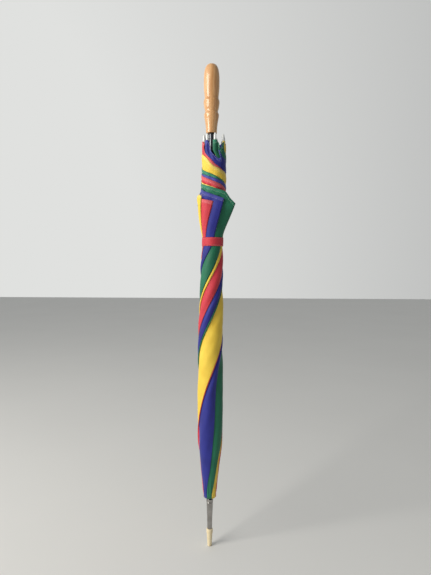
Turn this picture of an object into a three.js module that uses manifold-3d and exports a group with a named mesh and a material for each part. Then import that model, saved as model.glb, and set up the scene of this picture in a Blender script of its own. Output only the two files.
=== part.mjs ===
// A golf umbrella, closed and strapped: handle up, tip foot on the floor plane.
// Units are millimetres, +Z runs up the shaft and the origin is the middle of the foot's flat end.

import * as THREE from 'three';
import { mergeVertices } from 'three/addons/utils/BufferGeometryUtils.js';
import Module from 'manifold-3d';

const wasm = await Module();
wasm.setup();

// ---------------------------------------------------------------- driving sizes

const TOTAL = 1000; // foot to handle top
const RIBS = 8;
const FIRST_RIB = -116; // degrees round the shaft from +X
const GAP = 0.3; // between pieces that fit together

const FOOT = { height: 38, bottom: 4.3, top: 6.7, socket: 19 };
const FERRULE = { top: 96.7, neck: 68, bottom: 5.0, waist: 5.6, mouth: 6.6, spigot: 3.2 };
const COLLAR = { bottom: 97, top: 104, radius: 7.2 };
const SHAFT = { radius: 5, bore: 4.3, bottom: 76, top: 954 };
const HANDLE = { bottom: 862, bore: 958, cup: 9.4, cupDepth: 7 };

const CROWN_Z = 122; // height of the ring that the ribs hang on
const LINK = 330; // crown ring to rib joint, and rib joint to runner ring
const JOINT_Z = CROWN_Z + LINK;
const RUNNER_Z = CROWN_Z + 2 * LINK; // height of the runner's ring when closed
const RING = { radius: 8, wire: 0.45, hole: 0.9 };
const OPEN_ANGLE = 60; // degrees from the shaft to a rib at full opening

const RIB = { width: 2, half: 1.2, eye: 1.6, crown: 11, joint: 11.8, end: 21, endZ: 836 };
const TIP = { bottom: 841, top: 860, radius: 2.75, bore: 2.0, depth: 13 };
const STRETCHER = { width: 3.8, channel: 2.6, half: 1.6, web: 0.8, eyeWidth: 2 };
const NOTCH = { radius: 10.2, slot: 2.6, floor: 6.2 };
const RUNNER = { radius: 8.2, bore: 5.3, top: RUNNER_Z + 46 };
const CATCH = { width: 2, inner: 2.6, outer: 3.4, slot: 2.6 };
const CATCH_ANGLE = FIRST_RIB + 22.5; // between two ribs
const CLOSED_CATCH = { foot: RUNNER_Z - 10, nose: RUNNER_Z + 22, top: RUNNER_Z + 43, reach: 9.5 };
const OPEN_CATCH = { foot: JOINT_Z + 104, nose: JOINT_Z + 68, bottom: JOINT_Z + 48, reach: 6.3 };
const KEYWAY = { width: 2.8, reach: 6.8 };

const LEAN = 6; // the loose top of the bundle leans this far towards +X

const PANEL = { halfAngle: 17.5, clear: 2, spare: 1.2 };
// [height, outer radius]: tapered to the crown, held in by the strap, loose corners above it
const BUNDLE = [
  [128, 14], [170, 18.6], [225, 23.3], [300, 24.8], [450, 24.2], [560, 22.6],
  [636, 20.9], [660, 21.4], [736, 38], [752, 36], [768, 26.5], [837, 25.9],
];
const STRAP = { bottom: 638, top: 655, inner: 21.6, outer: 22.8 };
const STUD = { angle: 42, radius: 6, thick: 1.6 };

// ---------------------------------------------------------------- materials

const FINISH = {
  wood: { color: 0xd9a86c, roughness: 0.25, metalness: 0 },
  steel: { color: 0x3c3e42, roughness: 0.35, metalness: 1 },
  bright: { color: 0xc9ccd0, roughness: 0.2, metalness: 1 },
  cream: { color: 0xf2e2c0, roughness: 0.4, metalness: 0 },
  white: { color: 0xf0eee8, roughness: 0.4, metalness: 0 },
  black: { color: 0x1d1d1f, roughness: 0.45, metalness: 0 },
  blue: { color: 0x3a3fa0, roughness: 0.8, metalness: 0 },
  green: { color: 0x2f8f68, roughness: 0.8, metalness: 0 },
  yellow: { color: 0xefc53c, roughness: 0.8, metalness: 0 },
  red: { color: 0xd23c46, roughness: 0.8, metalness: 0 },
};
// Panel 1 is green, and the colours repeat in this order round the canopy.
const PANEL_COLOURS = ['green', 'yellow', 'red', 'blue'];

const group = new THREE.Group();
group.name = 'umbrella';

function place(name, geometry, finish, angle = 0) {
  const material = new THREE.MeshStandardMaterial(FINISH[finish]);
  const mesh = new THREE.Mesh(geometry, material);
  mesh.name = name;
  mesh.rotation.z = THREE.MathUtils.degToRad(angle);
  group.add(mesh);
}

// ---------------------------------------------------------------- solids

// Turns a profile of [radius, height] points round the shaft's axis. A profile that
// doesn't start and end on the axis is closed on itself.
function turned(profile, segments = 32) {
  const points = profile.map(([r, z]) => new THREE.Vector2(r, z));
  if (profile[0][0] > 0) {
    points.push(points[0].clone());
  }
  const geometry = new THREE.LatheGeometry(points, segments);
  geometry.rotateX(Math.PI / 2);
  return welded(geometry);
}

function welded(geometry) {
  geometry.deleteAttribute('normal');
  geometry.deleteAttribute('uv');
  const merged = mergeVertices(geometry, 1e-4);
  // A face with two corners on the axis has no area, so it goes.
  const index = merged.index.array;
  const kept = [];
  for (let i = 0; i < index.length; i += 3) {
    const [a, b, c] = index.subarray(i, i + 3);
    if (a !== b && b !== c && c !== a) {
      kept.push(a, b, c);
    }
  }
  merged.setIndex(kept);
  merged.computeVertexNormals();
  return merged;
}

function solidOf(geometry) {
  const clean = welded(geometry);
  return new wasm.Manifold(new wasm.Mesh({
    numProp: 3,
    vertProperties: Float32Array.from(clean.attributes.position.array),
    triVerts: Uint32Array.from(clean.index.array),
  }));
}

function geometryOf(solid) {
  const mesh = solid.getMesh();
  const geometry = new THREE.BufferGeometry();
  geometry.setAttribute('position', new THREE.BufferAttribute(mesh.vertProperties, 3));
  geometry.setIndex(new THREE.BufferAttribute(mesh.triVerts, 1));
  geometry.computeVertexNormals();
  return geometry;
}

// A flat shape drawn in (radius, height) and given a width across.
function plate(shape, width, curveSegments = 6) {
  const geometry = new THREE.ExtrudeGeometry(shape, { depth: width, bevelEnabled: false, curveSegments });
  geometry.translate(0, 0, -width / 2);
  geometry.rotateX(Math.PI / 2);
  return solidOf(geometry);
}

function outline(points) {
  return new THREE.Shape(points.map(([r, z]) => new THREE.Vector2(r, z)));
}

// A bar with round ends between two (radius, height) points.
function bar(from, to, half, width) {
  const start = new THREE.Vector2(...from);
  const end = new THREE.Vector2(...to);
  const turn = end.clone().sub(start).angle();
  const shape = new THREE.Shape();
  shape.absarc(end.x, end.y, half, turn - Math.PI / 2, turn + Math.PI / 2);
  shape.absarc(start.x, start.y, half, turn + Math.PI / 2, turn + 1.5 * Math.PI);
  return plate(shape, width);
}

function box([r0, r1], width, [z0, z1]) {
  const geometry = new THREE.BoxGeometry(r1 - r0, width, z1 - z0);
  geometry.translate((r0 + r1) / 2, 0, (z0 + z1) / 2);
  return solidOf(geometry);
}

// A round pin across the bar at a (radius, height) point.
function crossPin([r, z], radius, length, segments = 10) {
  const geometry = new THREE.CylinderGeometry(radius, radius, length, segments);
  geometry.translate(r, 0, z);
  return solidOf(geometry);
}

// The same cutter at every rib.
function atEveryRib(solid) {
  let all = solid;
  for (let i = 1; i < RIBS; i += 1) {
    all = all.add(solid.rotate([0, 0, (i * 360) / RIBS]));
  }
  return all;
}

// ---------------------------------------------------------------- foot, ferrule and shaft

const foot = turned([
  [0, 0], [FOOT.bottom - 0.5, 0], [FOOT.bottom, 0.6], [6.1, 27.5], [6.5, 28.5],
  [FOOT.top, 31], [FOOT.top, FOOT.height - 0.6], [FOOT.top - 0.6, FOOT.height],
  [FERRULE.spigot + GAP, FOOT.height], [FERRULE.spigot + GAP, FOOT.socket], [0, FOOT.socket],
]);
place('tip_foot', foot, 'cream');

const ferrule = turned([
  [0, FOOT.socket + 1], [FERRULE.spigot, FOOT.socket + 1], [FERRULE.spigot, FOOT.height + GAP],
  [FERRULE.bottom, FOOT.height + GAP], [FERRULE.waist, FERRULE.neck],
  [FERRULE.mouth, FERRULE.top - 8], [FERRULE.mouth, FERRULE.top],
  [SHAFT.radius + GAP, FERRULE.top], [SHAFT.radius + GAP, SHAFT.bottom - 1], [0, SHAFT.bottom - 1],
]);
place('ferrule_tube', ferrule, 'bright');

const collar = turned([
  [SHAFT.radius + GAP, COLLAR.bottom], [COLLAR.radius - 0.5, COLLAR.bottom],
  [COLLAR.radius, COLLAR.bottom + 0.6], [COLLAR.radius, COLLAR.top - 0.8],
  [COLLAR.radius - 0.6, COLLAR.top], [SHAFT.radius + GAP, COLLAR.top],
]);
place('ferrule_collar', collar, 'bright');

const STOP_PIN = { z: JOINT_Z - 9.5, radius: 0.9, length: 13.4 };
const CROWN_PIN = { z: CROWN_Z - 4.6, radius: 0.9, length: 19.6 };

// A slot in the tube wall, for a catch, between two heights on the catch's side.
function catchSlot(z0, z1) {
  return box([0, SHAFT.radius + 1], CATCH.slot, [z0, z1]);
}

const tube = solidOf(turned([
  [SHAFT.bore, SHAFT.bottom], [SHAFT.radius, SHAFT.bottom],
  [SHAFT.radius, SHAFT.top], [SHAFT.bore, SHAFT.top],
], 24));
const shaft = tube
  .subtract(catchSlot(CLOSED_CATCH.nose - 3, CLOSED_CATCH.top + 3))
  .subtract(catchSlot(OPEN_CATCH.bottom - 3, OPEN_CATCH.nose + 3).rotate([0, 0, 180]))
  .subtract(crossPin([0, STOP_PIN.z], STOP_PIN.radius + GAP, 14))
  .subtract(crossPin([0, CROWN_PIN.z], CROWN_PIN.radius + GAP, 14));
place('shaft', geometryOf(shaft), 'steel', CATCH_ANGLE);
place('stop_pin', geometryOf(crossPin([0, STOP_PIN.z], STOP_PIN.radius, STOP_PIN.length)), 'bright', CATCH_ANGLE);
place('crown_pin', geometryOf(crossPin([0, CROWN_PIN.z], CROWN_PIN.radius, CROWN_PIN.length)), 'bright', CATCH_ANGLE);

// ---------------------------------------------------------------- handle

const handle = turned([
  [0, HANDLE.bore], [SHAFT.radius + GAP, HANDLE.bore],
  [SHAFT.radius + GAP, HANDLE.bottom + HANDLE.cupDepth], [HANDLE.cup - 1, HANDLE.bottom + 4],
  [HANDLE.cup, HANDLE.bottom], [11.2, HANDLE.bottom], [11.6, HANDLE.bottom + 2],
  [13.0, 897], [13.5, 900], [13.5, 907], [12.8, 910], [12.8, 916], [13.9, 920],
  [14.3, 926], [13.9, 931.5], [13.2, 935], [13.4, 945], [14.1, 972], [14.0, 984],
  [12.9, 992], [10.2, 997.4], [5.8, TOTAL], [0, TOTAL],
], 36);
place('handle', handle, 'wood');

// ---------------------------------------------------------------- crown notch and runner

// A notched ring: slots for the rib or stretcher eyes, and a groove for the wire that they
// turn on. The slots are open outwards and on the side that the arms leave by.
function notched(profile, slotZ) {
  const slots = atEveryRib(box([NOTCH.floor, 14], NOTCH.slot, slotZ));
  return solidOf(turned(profile, 24)).subtract(slots);
}

function groove(z) {
  const inner = RING.radius - RING.wire - 0.3;
  return [[NOTCH.radius, z - 0.8], [inner, z - 0.8], [inner, z + 0.8], [NOTCH.radius, z + 0.8]];
}

const crown = notched([
  [SHAFT.radius + GAP, CROWN_Z - 7.2], [NOTCH.radius, CROWN_Z - 7.2], ...groove(CROWN_Z),
  [NOTCH.radius, CROWN_Z + 4], [SHAFT.radius + 1.5, CROWN_Z + 9], [SHAFT.radius + GAP, CROWN_Z + 9],
], [CROWN_Z - 2.4, CROWN_Z + 20]);
const pinHole = crossPin([0, CROWN_PIN.z], CROWN_PIN.radius + GAP, 30).rotate([0, 0, CATCH_ANGLE - FIRST_RIB]);
place('crown_notch', geometryOf(crown.subtract(pinHole)), 'black', FIRST_RIB);

const runnerBody = notched([
  [RUNNER.bore, RUNNER_Z - 7.5], [NOTCH.radius, RUNNER_Z - 7.5], ...groove(RUNNER_Z),
  [NOTCH.radius, RUNNER_Z + 4.5], [RUNNER.radius, RUNNER_Z + 7],
  [RUNNER.radius, RUNNER.top - 3], [RUNNER.radius + 0.9, RUNNER.top - 2],
  [RUNNER.radius + 0.9, RUNNER.top], [RUNNER.bore, RUNNER.top],
], [RUNNER_Z - 20, RUNNER_Z + 2.4]);
const keyway = box([-KEYWAY.reach, 0], KEYWAY.width, [RUNNER_Z - 10, RUNNER.top + 2]);
const thumbSlot = box([0, 12], KEYWAY.width, [CLOSED_CATCH.nose - 3, RUNNER.top + 2]);
const runner = runnerBody.subtract(keyway.add(thumbSlot).rotate([0, 0, CATCH_ANGLE - FIRST_RIB]));
place('runner', geometryOf(runner), 'black', FIRST_RIB);

for (const [name, z] of [['crown_wire', CROWN_Z], ['runner_wire', RUNNER_Z]]) {
  const wire = new THREE.TorusGeometry(RING.radius, RING.wire, 6, 32);
  wire.translate(0, 0, z);
  place(name, welded(wire), 'bright');
}

// The small round cloth that keeps the canopy off the crown.
const rosette = turned([
  [SHAFT.radius + GAP, COLLAR.top + GAP], [7.4, COLLAR.top + GAP], [10.6, CROWN_Z - 10],
  [11.6, CROWN_Z - 8], [10.8, CROWN_Z - 7.8], [9.8, CROWN_Z - 9], [6.8, COLLAR.top + 1.3],
  [SHAFT.radius + GAP, COLLAR.top + 1.3],
], 24);
place('crown_rosette', rosette, 'blue');

// ---------------------------------------------------------------- catches

// Each catch is a leaf inside the tube with a nose that shows through its slot.
const closedCatch = outline([
  [CATCH.inner, CLOSED_CATCH.foot], [CATCH.outer, CLOSED_CATCH.foot],
  [CATCH.outer, CLOSED_CATCH.nose], [CLOSED_CATCH.reach, CLOSED_CATCH.top - 3],
  [CLOSED_CATCH.reach, CLOSED_CATCH.top], [CATCH.inner, CLOSED_CATCH.top],
]);
place('closed_catch', geometryOf(plate(closedCatch, CATCH.width)), 'bright', CATCH_ANGLE);

const openCatch = outline([
  [CATCH.inner, OPEN_CATCH.bottom], [OPEN_CATCH.reach, OPEN_CATCH.bottom],
  [OPEN_CATCH.reach, OPEN_CATCH.bottom + 3], [CATCH.outer, OPEN_CATCH.nose],
  [CATCH.outer, OPEN_CATCH.foot], [CATCH.inner, OPEN_CATCH.foot],
]);
place('open_catch', geometryOf(plate(openCatch, CATCH.width)), 'bright', CATCH_ANGLE + 180);

// ---------------------------------------------------------------- ribs, stretchers, tips

// The share of the way from the rib joint to the rib's end, where ribs spread and lean.
function spreadShare(z) {
  return THREE.MathUtils.clamp((z - JOINT_Z) / (RIB.endZ - JOINT_Z), 0, 1);
}

function ribEnd(angle) {
  return RIB.end + LEAN * Math.cos(THREE.MathUtils.degToRad(angle));
}

function makeRib(angle) {
  const eye = [RING.radius, CROWN_Z];
  const joint = [RING.radius, JOINT_Z];
  const bend = [RIB.crown, CROWN_Z + 8];
  const knee = [RIB.joint, JOINT_Z];
  const end = [ribEnd(angle), RIB.endZ];
  const tail = [ribEnd(angle), TIP.bottom + TIP.depth - 2];
  return bar(eye, bend, RIB.half, RIB.width)
    .add(crossPin(eye, RIB.eye, RIB.width))
    .add(bar(bend, knee, RIB.half, RIB.width))
    .add(bar(knee, end, RIB.half, RIB.width))
    .add(bar(end, tail, RIB.half, RIB.width))
    .add(bar(joint, knee, RIB.eye, RIB.width))
    .subtract(crossPin(eye, RING.hole, 4))
    .subtract(crossPin(joint, RING.hole, 4));
}

function makeStretcher() {
  const joint = [RING.radius, JOINT_Z];
  const shoulder = [RING.radius, RUNNER_Z - 13];
  const eye = [RING.radius, RUNNER_Z];
  const inside = RING.radius - STRETCHER.half + STRETCHER.web;
  const fork = box([0, 14], STRETCHER.channel, [JOINT_Z - 6, JOINT_Z + 3.4]);
  const channel = box([inside, 14], STRETCHER.channel, [JOINT_Z, RUNNER_Z - 18]);
  return bar(joint, shoulder, STRETCHER.half, STRETCHER.width)
    .subtract(fork)
    .subtract(channel)
    .add(bar(shoulder, eye, STRETCHER.half, STRETCHER.eyeWidth))
    .subtract(crossPin(joint, RING.hole, 8))
    .subtract(crossPin(eye, RING.hole, 8));
}

function makeRivet() {
  const reach = STRETCHER.width / 2 + 0.25;
  const profile = [
    [0, -reach - 0.45], [1.1, -reach - 0.45], [1.1, -reach], [0.65, -reach],
    [0.65, reach], [1.1, reach], [1.1, reach + 0.45], [0, reach + 0.45],
  ];
  const geometry = turned(profile, 10);
  geometry.rotateX(Math.PI / 2);
  geometry.translate(RING.radius, 0, JOINT_Z);
  return geometry;
}

function makeTip(angle) {
  const geometry = turned([
    [0, TIP.bottom + TIP.depth], [TIP.bore, TIP.bottom + TIP.depth], [TIP.bore, TIP.bottom],
    [TIP.radius - 0.4, TIP.bottom], [TIP.radius, TIP.bottom + 2], [TIP.radius - 0.2, TIP.top - 4],
    [TIP.radius - 1, TIP.top - 1.2], [1, TIP.top], [0, TIP.top],
  ], 12);
  geometry.translate(ribEnd(angle), 0, 0);
  return geometry;
}

// ---------------------------------------------------------------- furled canopy

// How far the ribs stand from the bundle's middle, leaving out the lean.
function ribRadius(z) {
  const below = THREE.MathUtils.clamp((z - CROWN_Z) / LINK, 0, 1);
  return RIB.crown + (RIB.joint - RIB.crown) * below + (RIB.end - RIB.joint) * spreadShare(z);
}

// One furled panel, in its own place: a shell between the ribs and the bundle's outside, from
// the rib at that angle to the next one, as rings of an outer and an inner arc.
function makePanel(angle) {
  const arcSteps = 3;
  const loop = 2 * (arcSteps + 1);
  const points = [];
  for (const [z, outer] of BUNDLE) {
    const share = spreadShare(z);
    const inner = ribRadius(z) + PANEL.clear + PANEL.spare * share;
    for (const [radius, way] of [[outer, 1], [inner, -1]]) {
      for (let k = 0; k <= arcSteps; k += 1) {
        const turn = way * PANEL.halfAngle * ((2 * k) / arcSteps - 1);
        const at = THREE.MathUtils.degToRad(angle + 180 / RIBS + turn);
        points.push(LEAN * share + radius * Math.cos(at), radius * Math.sin(at), z);
      }
    }
  }
  const index = [];
  for (let ring = 0; ring + 1 < BUNDLE.length; ring += 1) {
    for (let k = 0; k < loop; k += 1) {
      const a = ring * loop + k;
      const b = ring * loop + ((k + 1) % loop);
      index.push(a, b, b + loop, a, b + loop, a + loop);
    }
  }
  const last = (BUNDLE.length - 1) * loop;
  for (let k = 0; k < arcSteps; k += 1) {
    const [a, b, c, d] = [k, k + 1, loop - 2 - k, loop - 1 - k];
    index.push(a, d, c, a, c, b);
    index.push(last + a, last + c, last + d, last + a, last + b, last + c);
  }
  const geometry = new THREE.BufferGeometry();
  geometry.setAttribute('position', new THREE.Float32BufferAttribute(points, 3));
  geometry.setIndex(index);
  geometry.computeVertexNormals();
  return geometry;
}

const stretcher = geometryOf(makeStretcher());
const rivet = makeRivet();

for (let i = 0; i < RIBS; i += 1) {
  const angle = FIRST_RIB + (i * 360) / RIBS;
  place(`rib_${i + 1}`, geometryOf(makeRib(angle)), 'steel', angle);
  place(`stretcher_${i + 1}`, stretcher, 'steel', angle);
  place(`joint_rivet_${i + 1}`, rivet, 'bright', angle);
  place(`rib_tip_${i + 1}`, makeTip(angle), 'white', angle);
  place(`canopy_panel_${i + 1}`, makePanel(angle), PANEL_COLOURS[i % 4]);
}

// ---------------------------------------------------------------- strap

const STRAP_Z = (STRAP.bottom + STRAP.top) / 2;
const strap = turned([
  [STRAP.inner, STRAP.bottom], [STRAP.outer, STRAP.bottom],
  [STRAP.outer, STRAP.top], [STRAP.inner, STRAP.top],
], 40);
strap.translate(LEAN * spreadShare(STRAP_Z), 0, 0);
place('strap', strap, 'red');

const stud = new THREE.CylinderGeometry(STUD.radius, STUD.radius, STUD.thick, 20);
stud.rotateZ(Math.PI / 2);
stud.translate(STRAP.outer + 0.4 + STUD.thick / 2, 0, STRAP_Z);
stud.rotateZ(THREE.MathUtils.degToRad(STUD.angle));
stud.translate(LEAN * spreadShare(STRAP_Z), 0, 0);
place('strap_stud', welded(stud), 'bright');

export default group;
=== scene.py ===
# %% [markdown]
# # A furled golf umbrella
# The steel frame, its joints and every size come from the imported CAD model.
# This script adds what CAD leaves out: cloth that is really wound round the ribs,
# a turned and lacquered handle, thread, and finishes that look like their materials.

# %% Load the frame
import math

import bpy
import numpy as np
from mathutils import Matrix, Vector

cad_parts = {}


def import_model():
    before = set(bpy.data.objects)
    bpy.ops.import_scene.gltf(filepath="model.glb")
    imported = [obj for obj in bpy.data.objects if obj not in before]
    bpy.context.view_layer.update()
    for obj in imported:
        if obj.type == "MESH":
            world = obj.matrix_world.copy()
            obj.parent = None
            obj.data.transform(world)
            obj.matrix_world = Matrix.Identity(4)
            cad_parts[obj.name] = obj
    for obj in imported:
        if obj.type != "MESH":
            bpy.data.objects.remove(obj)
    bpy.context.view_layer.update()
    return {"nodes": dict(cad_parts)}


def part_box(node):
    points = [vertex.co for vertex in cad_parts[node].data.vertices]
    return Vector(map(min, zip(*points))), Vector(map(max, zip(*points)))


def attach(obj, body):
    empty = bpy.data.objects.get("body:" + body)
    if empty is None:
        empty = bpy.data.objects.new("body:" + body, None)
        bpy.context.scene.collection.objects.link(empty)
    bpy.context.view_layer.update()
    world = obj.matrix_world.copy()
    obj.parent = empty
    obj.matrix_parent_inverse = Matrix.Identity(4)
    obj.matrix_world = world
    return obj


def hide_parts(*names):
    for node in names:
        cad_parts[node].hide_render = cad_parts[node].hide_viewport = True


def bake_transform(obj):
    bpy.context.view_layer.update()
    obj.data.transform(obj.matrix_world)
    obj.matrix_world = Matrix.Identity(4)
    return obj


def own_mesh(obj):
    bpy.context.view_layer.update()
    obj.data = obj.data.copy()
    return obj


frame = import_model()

NODES = frame["nodes"]

# %% [markdown]
# ## Camera
# The umbrella is seen from a little above its middle, standing upright, from less than
# a metre away. A wide lens that close makes the handle and the foot recede, so the
# distance matters as much as the angle.

# %% Camera
LOOK_DOWN = math.radians(3.7)
LEAN_OF_VIEW = math.radians(0.3)
camera_data = bpy.data.cameras.new("view_camera")
camera_data.lens = 28.0
camera_data.sensor_width = 36.0
camera = bpy.data.objects.new("view_camera", camera_data)
bpy.context.scene.collection.objects.link(camera)
camera.matrix_world = (
    Matrix.Translation((0.0098, -0.920, 0.6125))
    @ Matrix.Rotation(math.pi / 2 - LOOK_DOWN, 4, "X")
    @ Matrix.Rotation(LEAN_OF_VIEW, 4, "Z")
)
bpy.context.scene.camera = camera
print("camera at", tuple(round(x, 3) for x in camera.location))

# %% [markdown]
# ## Small tools
# Colours are written as the hex values seen on a screen, and shaders work in linear
# light, so one function converts them. One more function adds a node, fills its
# sockets and links it.

# %% Colour and node helpers
def linear(hex_colour):
    """The linear RGBA of a screen colour such as "D9A066"."""
    parts = [int(hex_colour[k : k + 2], 16) / 255 for k in (0, 2, 4)]
    return [x / 12.92 if x <= 0.04045 else ((x + 0.055) / 1.055) ** 2.4 for x in parts] + [1.0]


def add_node(tree, kind, inputs=None, **settings):
    """Adds a node: settings are its own options, and inputs are values or sockets to link."""
    made = tree.nodes.new(kind)
    made.location = (200 * (len(tree.nodes) % 12), -180 * (len(tree.nodes) // 12))
    for name, value in settings.items():
        setattr(made, name, value)
    for key, value in (inputs or {}).items():
        if isinstance(value, bpy.types.NodeSocket):
            tree.links.new(value, made.inputs[key])
        else:
            made.inputs[key].default_value = value
    return made


def start_material(name, **shader_values):
    """A new material with only a shader and an output in it."""
    material = bpy.data.materials.new(name)
    material.use_nodes = True
    tree = material.node_tree
    tree.nodes.clear()
    values = {k.replace("_", " "): v for k, v in shader_values.items()}
    shader = add_node(tree, "ShaderNodeBsdfPrincipled", values)
    add_node(tree, "ShaderNodeOutputMaterial", {"Surface": shader.outputs["BSDF"]})
    return material, tree, shader


def between(tree, factor, low, high):
    """A colour that goes from low to high as factor goes from 0 to 1."""
    mix = add_node(tree, "ShaderNodeMix", data_type="RGBA")
    tree.links.new(factor, mix.inputs[0])
    for socket, colour in ((mix.inputs[6], low), (mix.inputs[7], high)):
        if isinstance(colour, bpy.types.NodeSocket):
            tree.links.new(colour, socket)
        else:
            socket.default_value = linear(colour)
    return mix.outputs[2]


def spread(tree, value, low, high, to_low=0.0, to_high=1.0):
    """Stretches the part of a value between low and high, and clamps the rest."""
    node = add_node(
        tree,
        "ShaderNodeMapRange",
        {"Value": value, "From Min": low, "From Max": high, "To Min": to_low, "To Max": to_high},
    )
    return node.outputs["Result"]


MM = 0.001
print("red of the cloth in linear light:", [round(x, 3) for x in linear("C8323F")])

# %% [markdown]
# ## Steel
# Three steels are on an umbrella. The tube and ribs are plated dark against rust and
# rubbed by use, so they are a soft grey with faint marks along their length. The
# ferrule, rivets and press stud are nickel plated and polished, so they mirror what
# is round them. Metal needs no colour layer of its own: its colour is its reflection.

# %% Steel materials
def steel(name, dark, light, rough_low, rough_high, streak):
    material, tree, shader = start_material(name, Metallic=1.0)
    place = add_node(tree, "ShaderNodeTexCoord").outputs["Object"]
    along = add_node(tree, "ShaderNodeMapping", {"Vector": place, "Scale": (1.0, 1.0, streak)})
    marks = add_node(
        tree,
        "ShaderNodeTexNoise",
        {"Vector": along.outputs["Vector"], "Scale": 1 / (1.5 * MM), "Detail": 4.0},
    ).outputs["Fac"]
    cloud = add_node(
        tree, "ShaderNodeTexNoise", {"Vector": place, "Scale": 1 / (22 * MM), "Detail": 3.0}
    ).outputs["Fac"]
    both = add_node(
        tree, "ShaderNodeMath", {0: marks, 1: cloud}, operation="MULTIPLY"
    ).outputs["Value"]
    tree.links.new(between(tree, spread(tree, cloud, 0.3, 0.7), dark, light), shader.inputs["Base Color"])
    tree.links.new(spread(tree, both, 0.15, 0.4, rough_low, rough_high), shader.inputs["Roughness"])
    bump = add_node(tree, "ShaderNodeBump", {"Strength": 0.08, "Distance": 0.05 * MM, "Height": marks})
    tree.links.new(bump.outputs["Normal"], shader.inputs["Normal"])
    return material


DARK_STEEL = steel("Dark plated steel", "4A4C50", "63656A", 0.22, 0.42, 0.12)
BRIGHT_STEEL = steel("Nickel plated steel", "86827F", "AFACA8", 0.12, 0.26, 0.3)
print("steels:", DARK_STEEL.name, "/", BRIGHT_STEEL.name)

# %% [markdown]
# ## Moulded plastics
# The runner and the crown notch are black nylon, the rib tips white acetal and the foot
# cream nylon. Moulded plastic has a fine even texture from the mould wall, and it
# gathers dust and scuffs unevenly, which shows as a change in roughness more than in
# colour.

# %% Plastic materials
def moulded(name, colour, worn, roughness):
    material, tree, shader = start_material(name, IOR=1.53)
    place = add_node(tree, "ShaderNodeTexCoord").outputs["Object"]
    cloud = add_node(
        tree, "ShaderNodeTexNoise", {"Vector": place, "Scale": 1 / (9 * MM), "Detail": 5.0}
    ).outputs["Fac"]
    grain = add_node(
        tree, "ShaderNodeTexNoise", {"Vector": place, "Scale": 1 / (0.5 * MM), "Detail": 2.0}
    ).outputs["Fac"]
    tree.links.new(between(tree, spread(tree, cloud, 0.45, 0.75), colour, worn), shader.inputs["Base Color"])
    tree.links.new(
        spread(tree, cloud, 0.3, 0.7, roughness - 0.07, roughness + 0.1), shader.inputs["Roughness"]
    )
    bump = add_node(tree, "ShaderNodeBump", {"Strength": 0.12, "Distance": 0.08 * MM, "Height": grain})
    tree.links.new(bump.outputs["Normal"], shader.inputs["Normal"])
    return material


BLACK_NYLON = moulded("Black moulded nylon", "17181A", "2A2B2D", 0.42)
WHITE_ACETAL = moulded("White moulded acetal", "E4E6E6", "D5D6D2", 0.34)
CREAM_NYLON = moulded("Cream moulded nylon", "EEDDB6", "DCC69A", 0.38)
print("plastics:", BLACK_NYLON.name, "/", WHITE_ACETAL.name, "/", CREAM_NYLON.name)

# %% [markdown]
# ## Lacquered beech
# The handle is beech, turned on a lathe with its grain along the handle, stained honey
# and lacquered. Beech has soft growth bands and many short dark flecks. Noise
# stretched along Z makes the bands, a finer one the flecks, and the lacquer is a
# smooth coat over the rougher wood.

# %% Wood material
def lacquered_beech():
    material, tree, shader = start_material(
        "Honey lacquered beech", IOR=1.5, Roughness=0.42, Coat_Weight=0.7, Coat_Roughness=0.12
    )
    place = add_node(tree, "ShaderNodeTexCoord").outputs["Object"]
    wander = add_node(
        tree, "ShaderNodeTexNoise", {"Vector": place, "Scale": 1 / (30 * MM), "Detail": 2.0}
    )
    pushed = add_node(
        tree,
        "ShaderNodeVectorMath",
        {0: wander.outputs["Color"], 1: (0.006, 0.006, 0.0)},
        operation="MULTIPLY",
    )
    bent = add_node(tree, "ShaderNodeVectorMath", {0: place, 1: pushed.outputs["Vector"]}, operation="ADD")
    rings = add_node(
        tree, "ShaderNodeMapping", {"Vector": bent.outputs["Vector"], "Scale": (1.0, 0.35, 0.05)}
    )
    bands = add_node(
        tree,
        "ShaderNodeTexNoise",
        {"Vector": rings.outputs["Vector"], "Scale": 1 / (3.2 * MM), "Detail": 3.0, "Roughness": 0.55},
    ).outputs["Fac"]
    fine = add_node(tree, "ShaderNodeMapping", {"Vector": place, "Scale": (1.0, 1.0, 0.09)})
    flecks = add_node(
        tree, "ShaderNodeTexVoronoi", {"Vector": fine.outputs["Vector"], "Scale": 1 / (0.9 * MM)}
    ).outputs["Distance"]
    base = between(tree, spread(tree, bands, 0.34, 0.66), "C98F57", "E3B37C")
    fleck = spread(tree, flecks, 0.06, 0.2, 0.35, 0.0)
    tree.links.new(between(tree, fleck, base, "8F5A2C"), shader.inputs["Base Color"])
    bump = add_node(tree, "ShaderNodeBump", {"Strength": 0.1, "Distance": 0.1 * MM, "Height": bands})
    tree.links.new(bump.outputs["Normal"], shader.inputs["Normal"])
    return material


BEECH = lacquered_beech()
print("wood:", BEECH.name)

# %% [markdown]
# ## Umbrella cloth
# The canopy is a plain-weave polyester, proofed on one side: a tight weave with a
# slight satin shine. Its real threads are about 0.2 mm apart, too fine to show from
# here, so they are drawn 0.9 mm apart. The pattern follows each piece's own UV map,
# which is in metres of flat cloth, so it winds round the bundle with the cloth. A hem
# is cloth folded over and sewn; its slightly paler band is a painted highlight on the fold.

# %% Cloth materials
THREADS_APART = 0.9


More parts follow.
